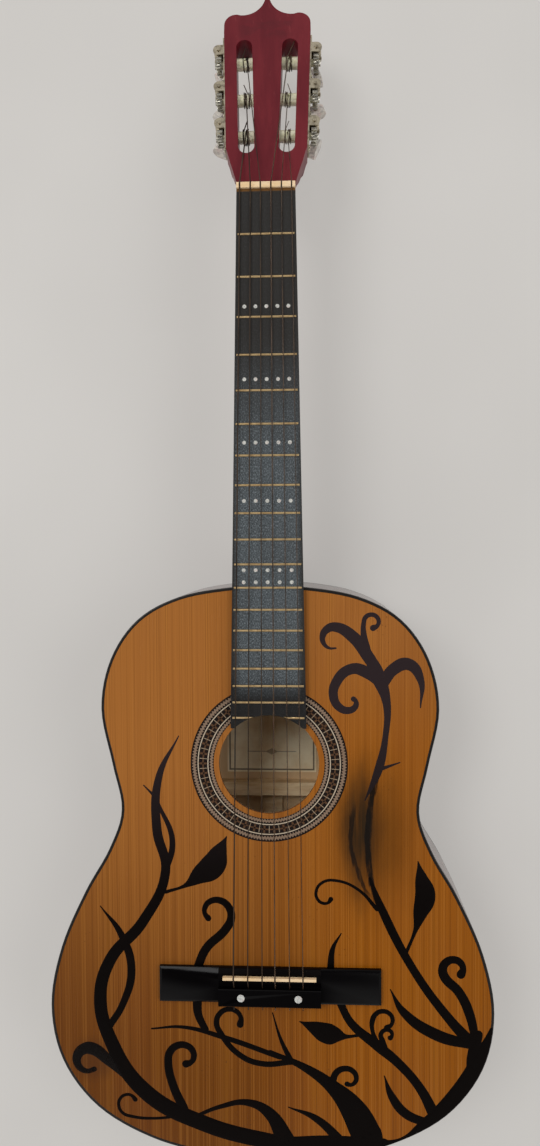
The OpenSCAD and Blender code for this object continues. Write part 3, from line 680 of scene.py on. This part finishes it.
VINES = {
    "treble_plant": [
        [(82, -54, 7), (79, -38, 5)] + curl((86, -29), 7, 5, 190, -270, 4, 3.5),
        [(85, -61, 10), (70, -41, 10)] + curl((54, -43), 10, 8, 85, 200, 8, 1),
        [(82, -54, 7), (90, -72, 12), (98, -96, 7), (97, -125, 5), (91, -153, 7), (80, -178, 1)],
        [(95, -80, 10), (82, -71, 10)] + curl((69, -95), 27, 2.5, 90, 320, 9, 3),
        [(95, -80, 9), (104, -68, 10), (116, -64, 10), (126, -77, 6), (126, -100, 1)],
        [(92, -152, 3.5), (109, -146, 1)],
    ],
    "treble_branch": [
        [(84, -244, 2.5), (94, -270, 7), (121, -322, 7), (150, -362, 8), (171, -385, 10)],
        [(90, -270, 3.5), (75, -254, 2.5)] + curl((48, -260), 16, 4, 60, 270, 2.5, 2.8),
        leaf((124, -229), (130, -258), (122, -287), (114, -307), 17),
        [(173, -389, 6), (167, -358, 8), (158, -339, 8)] + curl((154, -320), 10, 7, 215, -250, 8, 5),
        [(101, -338, 1), (112, -357, 7), (140, -376, 10), (171, -384, 8)],
        [(185, -370, 3), (178, -390, 12), (157, -429, 18), (130, -457, 16), (112, -469, 10), (90, -474, 12)],
        [(174, -375, 8), (170, -392, 10), (168, -407, 8)],
        [(58, -348, 6.5), (68, -367, 7), (90, -386, 9), (108, -401, 8), (126, -422, 8), (139, -447, 10)],
        [(91, -386, 4.5), (86, -373, 3.5)] + curl((96, -365), 10, 6, 180, -250, 4.5, 3.3),
        [(96, -390, 7), (94, -381, 5)] + curl((99, -377), 6, 3, 180, -230, 4, 3),
        leaf((25, -367), (49, -377), (64, -379), (78, -377), 18),
        [(96, -412, 1), (102, -429, 6.5), (114, -444, 8), (134, -452, 7)],
        [(51, -321, 6), (53, -304, 4), (60, -291, 1)],
    ],
    "tail_trunk": [
        [(0, -394, 4), (30, -407, 7), (54, -424, 13), (70, -442, 22), (82, -465, 26)],
        curl((66, -416), 14, 4, 190, -300, 6, 3),
        [(18, -402, 5), (9, -383, 3), (2, -360, 1)],
        [(15, -441, 1), (38, -450, 6), (63, -473, 9)],
        [(-68, -453, 3), (-42, -442, 4), (-20, -438, 6), (-2, -446, 10), (14, -472, 16)],
        [(10, -474, 14), (50, -473, 17), (95, -472, 13)],
    ],
    "bass_plant": [
        [(-76, -125, 1), (-93, -160, 6), (-95, -205, 8), (-88, -240, 8), (-108, -284, 9), (-136, -317, 10),
         (-145, -350, 11), (-136, -388, 12), (-108, -430, 14), (-55, -458, 14), (12, -474, 14)],
        [(-106, -167, 1), (-95, -178, 3)],
        [(-94, -182, 3), (-82, -214, 5), (-89, -244, 5)],
        leaf((-36, -210), (-48, -235), (-71, -252), (-88, -258), 21),
        [(-144, -271, 1), (-126, -296, 6), (-118, -325, 7), (-126, -356, 6), (-137, -374, 6)],
        [(-76, -451, 2.5), (-100, -454, 2.5)] + curl((-121, -441), 12, 6, -80, -250, 2.8, 2.8),
        [(-74, -445, 8), (-83, -425, 7.5)] + curl((-73, -400), 15, 6, 200, -280, 7, 4.5),
        [(-62, -324, 7.5), (-54, -306, 7.5)] + curl((-47, -275), 17, 7, -55, 280, 7.5, 3.5),
        [(-62, -349, 8), (-61, -363, 7), (-55, -376, 6)],
        [(-101, -376, 1.5), (-75, -374, 3), (-40, -382, 4.5), (8, -398, 4.5)],
        [(18, -402, 5), (-8, -404, 5), (-26, -397, 5)] + curl((-33, -368), 14, 8, 230, -250, 5, 4),
    ],
}

RUBBED = {
    "rubbed_hook": [
        [(-122, -419, 6.5), (-138, -405, 9)] + curl((-156, -405), 11, 9, 75, 230, 11, 3),
    ],
}


def paint_layer(name, strokes, finish):
    """Brushed lines: round strokes pressed down to a thin raised skin on the soundboard."""
    knots = [[(place(x, y), width * MM / 2) for x, y, width in stroke] for stroke in strokes]
    mesh = curve_mesh(name, knots, sides=4)
    bm = bmesh.new()
    bm.from_mesh(mesh)
    for point, radius in [end for stroke in knots for end in (stroke[0], stroke[-1])]:
        bmesh.ops.create_uvsphere(bm, u_segments=20, v_segments=8, radius=radius * 0.98,
                                  matrix=Matrix.Translation(point))
    board = bmesh.new()
    board.from_mesh(frame["nodes"]["soundboard"].data)
    edge = BVHTree.FromBMesh(board)
    board.free()
    thickest, overhang = 0.00018, 0.0018
    for vertex in bm.verts:
        rise = vertex.co.z - TOP_Z
        height = thickest * rise / (abs(rise) + 0.002)
        flat = Vector((vertex.co.x, vertex.co.y, TOP_Z))
        near = edge.find_nearest(flat)[0]
        past = (flat - near).to_2d()
        if past.length > overhang:
            flat -= past.normalized().to_3d() * (past.length - overhang)
        vertex.co = (flat.x, flat.y, TOP_Z + height)
    bm.to_mesh(mesh)
    bm.free()
    smooth(mesh, 60.0)
    return object_from(mesh, name, finish, "root")


def string_x(number, y):
    """Where a string crosses a line across the guitar, from its CAD node's nearest rings of vertices."""
    places = [v.co.x for v in frame["nodes"][f"string_{number}"].data.vertices if abs(v.co.y - y) < 4 * MM]
    return sum(places) / len(places)


# -------------------------------- settings


def swatch(name, description, red, green, blue):
    """A colour setting, with its default as a screen colour."""
    return FloatVectorProperty(name=name, description=description, default=srgb(red, green, blue),
                               subtype="COLOR", size=4, min=0, max=1)


class GuitarWoodLook(bpy.types.PropertyGroup):
    """Colours of the wood, the paint and the other finishes."""

    # the upper and lower lacquer colours also hold painted light: lighter near the neck, painted shade near
    # the tail
    lacquer_upper_lit: swatch("Lacquer, upper bout", "Amber of the soundboard near the neck", 162, 102, 46)
    lacquer_lower_shaded: swatch("Lacquer, lower bout", "Amber of the soundboard near the tail", 108, 58, 0)
    lacquer_gold: swatch("Lacquer, treble side", "Amber of the soundboard on the treble side", 150, 84, 4)
    body_dark: swatch("Body, dark grain", "Dark lines of the back and ribs", 52, 16, 11)
    body_light: swatch("Body, light grain", "Light lines of the back and ribs", 98, 36, 24)
    neck_dark: swatch("Neck, dark grain", "Dark lines of the stained neck", 94, 22, 32)
    neck_light: swatch("Neck, light grain", "Light lines of the stained neck", 114, 34, 42)
    board_dark: swatch("Fingerboard", "Fingerboard where it is untouched", 44, 42, 40)
    board_worn_sheen: swatch("Fingerboard, worn", "Fingerboard under the strings", 82, 89, 93)
    bone: swatch("Nut and saddle", "Cream of the nut and saddle", 240, 212, 172)
    paint: swatch("Vine paint", "Black of the painted scrollwork", 7, 3, 2)
    # the paint's colour near the neck is a painted sheen on the black
    paint_sheen: swatch("Vine paint, faded", "The scrollwork's paint near the neck", 48, 38, 40)
    floor: swatch("Floor", "Pale floor", 206, 203, 199)
    rosette_tiles: IntProperty(name="Rosette tiles", description="Tiles round the sound hole",
                               default=42, min=24, max=60)


class GuitarStringSizes(bpy.types.PropertyGroup):
    """Sizes of the strings' turns round their rollers and of the worms' threads."""

    turns: FloatProperty(name="Turns", description="Turns of each string round its roller",
                         default=3.2, min=2.0, max=7.0)
    sweep: FloatProperty(name="Sweep", description="How far the crossing turns wander along the roller",
                         default=0.0022, min=0, max=0.004, subtype="DISTANCE")
    tail: FloatProperty(name="Loose end", description="Length of each string's cut end", default=0.008,
                        min=0.004, max=0.012, subtype="DISTANCE")
    thread_crest: FloatProperty(name="Worm radius", description="Radius over the crest of a worm's thread",
                                default=0.0041, min=0.003, max=0.0045, subtype="DISTANCE")
    thread_pitch: FloatProperty(name="Worm pitch", description="Pitch of a worm's thread", default=0.00287,
                                min=0.002, max=0.004, subtype="DISTANCE")


class GuitarStage(bpy.types.PropertyGroup):
    """The camera, the lamps and the floor."""

    camera_place: FloatVectorProperty(name="Camera", description="Where the camera stands", size=3,
                                      subtype="TRANSLATION", default=(0.0361, 0.0245, 0.8014))
    camera_turn: FloatVectorProperty(name="Camera turn", description="The camera's rotation vector", size=3,
                                     default=(-0.03204, 0.04872, -0.003966))
    lens: FloatProperty(name="Lens", description="Focal length", default=26.7, min=15, max=80, unit="CAMERA")
    key_power: FloatProperty(name="Key lamp", description="Power of the main lamp", default=38.0, min=0,
                             max=100, subtype="POWER")
    sky: FloatProperty(name="Sky", description="Strength of the light from all round", default=0.80, min=0,
                       max=3)


SETTINGS = {
    "guitar_look": GuitarWoodLook,
    "guitar_strings": GuitarStringSizes,
    "guitar_stage": GuitarStage,
}


# -------------------------------- operators


class GuitarOperator:
    """What the guitar's operators share."""

    bl_options = {"REGISTER", "UNDO"}

    def look(self, context):
        return context.scene.guitar_look


class GUITAR_OT_stage(GuitarOperator, bpy.types.Operator):
    """Set the camera, the lamps, the pale floor and the sky"""

    bl_idname = "guitar.stage"
    bl_label = "Stage"

    def execute(self, context):
        stage = context.scene.guitar_stage
        camera = bpy.data.objects.new("camera", bpy.data.cameras.new("camera"))
        turn = Vector(stage.camera_turn)
        camera.matrix_world = (Matrix.Translation(stage.camera_place)
                               @ Matrix.Rotation(turn.length, 4, turn.normalized()))
        camera.data.lens = stage.lens
        camera.data.sensor_width = 36.0
        camera.data.clip_start = 0.01
        context.scene.collection.objects.link(camera)
        context.scene.camera = camera
        for name, spot, size, power in (("key", (-1.5, 1.0, 3.0), 1.6, stage.key_power),
                                        ("fill", (1.9, 0.3, 2.6), 1.6, stage.key_power * 0.37)):
            data = bpy.data.lights.new(name + "_lamp", "AREA")
            data.shape = "DISK"
            data.size = size
            data.energy = power
            lamp = bpy.data.objects.new(name + "_lamp", data)
            lamp.location = spot
            lamp.rotation_euler = (-Vector(spot)).to_track_quat("-Z", "Y").to_euler()
            context.scene.collection.objects.link(lamp)
        self.make_sky(context.scene, stage.sky)
        bm = bmesh.new()
        bmesh.ops.create_grid(bm, x_segments=1, y_segments=1, size=6.0)
        mesh = bpy.data.meshes.new("floor")
        bm.to_mesh(mesh)
        bm.free()
        mesh.materials.append(floor_finish(self.look(context)))
        floor = bpy.data.objects.new("floor", mesh)
        # a hair below the back, so that the two faces don't share a plane
        floor.location.z = -0.0004
        context.scene.collection.objects.link(floor)
        context.scene.view_settings.view_transform = "Standard"
        return {"FINISHED"}

    @staticmethod
    def make_sky(scene, strength):
        """Soft light from all round that is weak overhead, so that dark gloss stays dark."""
        world = bpy.data.worlds.new("soft_sky")
        world.use_nodes = True
        sky = Shading(world.node_tree, "Generated")
        level = sky.z.rise(0.93, 0.70) * (strength * 0.88) + strength * 0.12
        sky.node("ShaderNodeOutputWorld", {}, {
            "Surface": sky.node("ShaderNodeBackground", {}, {"Color": (1.0, 0.99, 0.97, 1.0),
                                                             "Strength": level})}, None)
        scene.world = world


class GUITAR_OT_soundboard(GuitarOperator, bpy.types.Operator):
    """Lacquer the soundboard and inlay the rosette"""

    bl_idname = "guitar.soundboard"
    bl_label = "Soundboard and rosette"

    def execute(self, context):
        look = self.look(context)
        softened("soundboard", spruce_finish(look), "root")
        softened("rosette", rosette_finish(look), "root")
        return {"FINISHED"}


class GUITAR_OT_body(GuitarOperator, bpy.types.Operator):
    """Finish the ribs, the back, the bindings and the heel cap"""

    bl_idname = "guitar.body"
    bl_label = "Ribs, back and bindings"

    def execute(self, context):
        look = self.look(context)
        wood = body_finish(look)
        for node in ("back", "rib_bass", "rib_treble"):
            softened(node, wood, "root")
        black = binding_finish()
        for node in ("top_binding", "back_binding"):
            softened(node, black, "root", edge=0.0007, segments=3)
        softened("heel_cap", black, "root", edge=0.0004)
        return {"FINISHED"}


class GUITAR_OT_inside(GuitarOperator, bpy.types.Operator):
    """Finish the blocks, linings, braces, bolts and the label inside the soundbox"""

    bl_idname = "guitar.inside"
    bl_label = "Inside of the soundbox"

    def execute(self, context):
        wood = bare_wood_finish()
        for node in ("neck_block", "tail_block", "top_linings", "back_linings", "top_braces", "back_braces",
                     "bridge_patch"):
            dress(node, wood)
        dress("bridge_bolts", metal_finish("plain_steel", srgb(176, 176, 172), srgb(96, 90, 84), 0.3))
        dress("label", label_finish())
        return {"FINISHED"}


class GUITAR_OT_scrollwork(GuitarOperator, bpy.types.Operator):
    """Paint the scrollwork on the soundboard, and the stems that were rubbed while wet"""

    bl_idname = "guitar.scrollwork"
    bl_label = "Painted scrollwork"

    def execute(self, context):
        look = self.look(context)
        paint = paint_finish(look)
        for name, strokes in VINES.items():
            paint_layer(name, strokes, paint)
        rubbed = rubbed_paint_finish(look)
        for name, strokes in RUBBED.items():
            paint_layer(name, strokes, rubbed)
        return {"FINISHED"}


class GUITAR_OT_bridge(GuitarOperator, bpy.types.Operator):
    """Finish the bridge, the saddle and the pearl dots"""

    bl_idname = "guitar.bridge"
    bl_label = "Bridge"

    def execute(self, context):
        look = self.look(context)
        softened("bridge", ebonised_finish(), "root", edge=0.0004)
        saddle_low, saddle_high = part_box("saddle")
        middle = (saddle_low[1] + saddle_high[1]) / 2
        grooves = [string_x(k, middle) for k in STRINGS]
        softened("saddle", bone_finish("saddle_bone", look, grooves), "root", edge=0.0003)
        dots = pearl_finish("dot_pearl", 420.0, srgb(204, 206, 202), srgb(160, 166, 166))
        softened("bridge_dots", dots, "root", edge=0.0003)
        return {"FINISHED"}


class GUITAR_OT_neck(GuitarOperator, bpy.types.Operator):
    """Stain the neck and the headstock"""

    bl_idname = "guitar.neck"
    bl_label = "Neck and headstock"

    def execute(self, context):
        cherry = neck_finish(self.look(context))
        softened("neck", cherry, "root")
        softened("headstock", cherry, "root", edge=0.0006, segments=3)
        return {"FINISHED"}


class GUITAR_OT_fingerboard(GuitarOperator, bpy.types.Operator):
    """Finish the fingerboard, its dots, the frets and the nut"""

    bl_idname = "guitar.fingerboard"
    bl_label = "Fingerboard"

    def execute(self, context):
        look = self.look(context)
        softened("fingerboard", board_finish(look), "root")
        brass = metal_finish("fret_brass", srgb(216, 186, 138), srgb(136, 104, 64), 0.3, 160.0)
        softened("frets", brass, "root")
        grooves = [string_x(k, NUT_Y) for k in STRINGS]
        softened("nut", bone_finish("nut_bone", look, grooves), "root", edge=0.0003)
        dress("position_dots", pearl_finish("board_pearl", 500.0, srgb(214, 214, 208), srgb(150, 152, 150)))
        return {"FINISHED"}


class GUITAR_OT_strings(GuitarOperator, bpy.types.Operator):
    """Finish the six strings and wind their ends round the rollers, untidily"""

    bl_idname = "guitar.strings"
    bl_label = "Strings and windings"

    def execute(self, context):
        sizes = context.scene.guitar_strings
        nylon = nylon_finish()
        wound = wound_finish()
        for k in STRINGS:
            finish, slot = (nylon, "nylon") if k <= 3 else (wound, "wound")
            softened(f"string_{k}", finish, "root")
            self.wind(k, finish, slot, sizes)
        return {"FINISHED"}

    def wind(self, k, finish, slot, sizes):
        """The string's turns round its roller, which cross over one another, and its cut end."""
        chance = random.Random(40 + k)
        barrel = Barrel(k)
        gauge = STRING_RADII[k - 1]
        lay = barrel.radius + gauge * 0.9
        start_u = barrel.middle + (0.4 if k in (1, 6) else -0.8) * MM
        knots = []
        steps = 14  # a turn
        hand = 1 if k % 2 else -1
        for i in range(int(sizes.turns * steps) + 1):
            turn = i / steps
            along = start_u + hand * sizes.sweep * math.sin(2.4 * turn) + chance.uniform(-0.1, 0.1) * MM
            knots.append((barrel.point(along, 90 - 360 * turn, lay + gauge * 0.45 * turn), gauge))
        # the cut end lies across the turns; the one on the third string was left long
        reach = sizes.tail * (2.2 if k == 3 else 1.0)
        start = barrel.point(barrel.middle - hand * 2.0 * MM, 78, lay + gauge * 2)
        sweep = (barrel.along + barrel.out * hand * 0.42).normalized()
        tail = [(start + sweep * (reach * i / 4) + barrel.up * (0.5 * MM * i), gauge * 0.9) for i in range(5)]
        piece = object_from(curve_mesh(f"string_turns_{k}", [knots, tail], sides=3), f"string_turns_{k}",
                            finish, f"barrel_{k}")
        smooth(piece.data, 60.0)


class GUITAR_OT_tuners(GuitarOperator, bpy.types.Operator):
    """Finish the tuner plates, screws, rollers, gears, worms and buttons"""

    bl_idname = "guitar.tuners"
    bl_label = "Tuners"

    def execute(self, context):
        sizes = context.scene.guitar_strings
        nickel = metal_finish("worn_nickel", srgb(176, 166, 146), srgb(84, 74, 56), 0.2)
        brass = metal_finish("gear_metal", srgb(200, 196, 184), srgb(66, 60, 50), 0.2)
        steel = metal_finish("screw_steel", srgb(206, 198, 178), srgb(110, 98, 78), 0.25)
        roller_pearl = pearl_finish("roller_pearl", 130.0, srgb(246, 242, 204), srgb(206, 206, 168),
                                    srgb(232, 214, 190))
        button_pearl = pearl_finish("button_pearl", 150.0, srgb(206, 196, 186), srgb(150, 144, 142))
        for side in ("bass", "treble"):
            softened(f"{side}_tuner_plate", nickel, "root", edge=0.00025)
        softened("plate_screws", steel, "root", edge=0.00025)
        for k in STRINGS:
            softened(f"roller_{k}", roller_pearl, f"barrel_{k}", edge=0.0003)
            softened(f"gear_{k}", brass, f"barrel_{k}", edge=0.00015, segments=1)
            softened(f"worm_{k}", nickel, f"key_{k}", edge=0.0003)
            softened(f"button_{k}", button_pearl, f"key_{k}", edge=0.0022, segments=5)
            self.cut_thread(k, nickel, sizes)
        return {"FINISHED"}

    def cut_thread(self, k, finish, sizes):
        """The worm's thread, which turns with its key."""
        axis = Vector(JOINTS[f"key_turn_{k}"]["axis"])
        centre = Vector(JOINTS[f"key_turn_{k}"]["pos_m"])
        side = Vector(JOINTS[f"barrel_turn_{k}"]["axis"])
        side = (side - axis * side.dot(axis)).normalized()
        mesh = thread_mesh(f"worm_thread_{k}", centre, axis, side, core=0.0023, crest=sizes.thread_crest,
                           half_length=0.0056, pitch=sizes.thread_pitch)
        object_from(mesh, f"worm_thread_{k}", finish, f"key_{k}")


PIECE_OPERATORS = (GUITAR_OT_soundboard, GUITAR_OT_body, GUITAR_OT_inside, GUITAR_OT_scrollwork,
                   GUITAR_OT_bridge, GUITAR_OT_neck, GUITAR_OT_fingerboard, GUITAR_OT_strings,
                   GUITAR_OT_tuners)


class GUITAR_PT_sidebar(bpy.types.Panel):
    """The guitar's steps and settings"""

    bl_idname = "GUITAR_PT_sidebar"
    bl_label = "Guitar"
    bl_space_type = "VIEW_3D"
    bl_region_type = "UI"
    bl_category = "Guitar"

    def draw(self, context):
        for operator in (GUITAR_OT_stage, *PIECE_OPERATORS):
            self.layout.operator(operator.bl_idname)
        for name, group in SETTINGS.items():
            box = self.layout.box()
            for prop in group.__annotations__:
                box.prop(getattr(context.scene, name), prop)


CLASSES = (*SETTINGS.values(), GUITAR_OT_stage, *PIECE_OPERATORS, GUITAR_PT_sidebar)


def register():
    for cls in CLASSES:
        bpy.utils.register_class(cls)
    for name, group in SETTINGS.items():
        setattr(bpy.types.Scene, name, PointerProperty(type=group))


def unregister():
    for name in SETTINGS:
        delattr(bpy.types.Scene, name)
    for cls in reversed(CLASSES):
        bpy.utils.unregister_class(cls)


def main():
    register()
    bpy.ops.guitar.stage()
    for operator in PIECE_OPERATORS:
        group, name = operator.bl_idname.split(".")
        getattr(getattr(bpy.ops, group), name)()


if __name__ == "__main__":
    main()
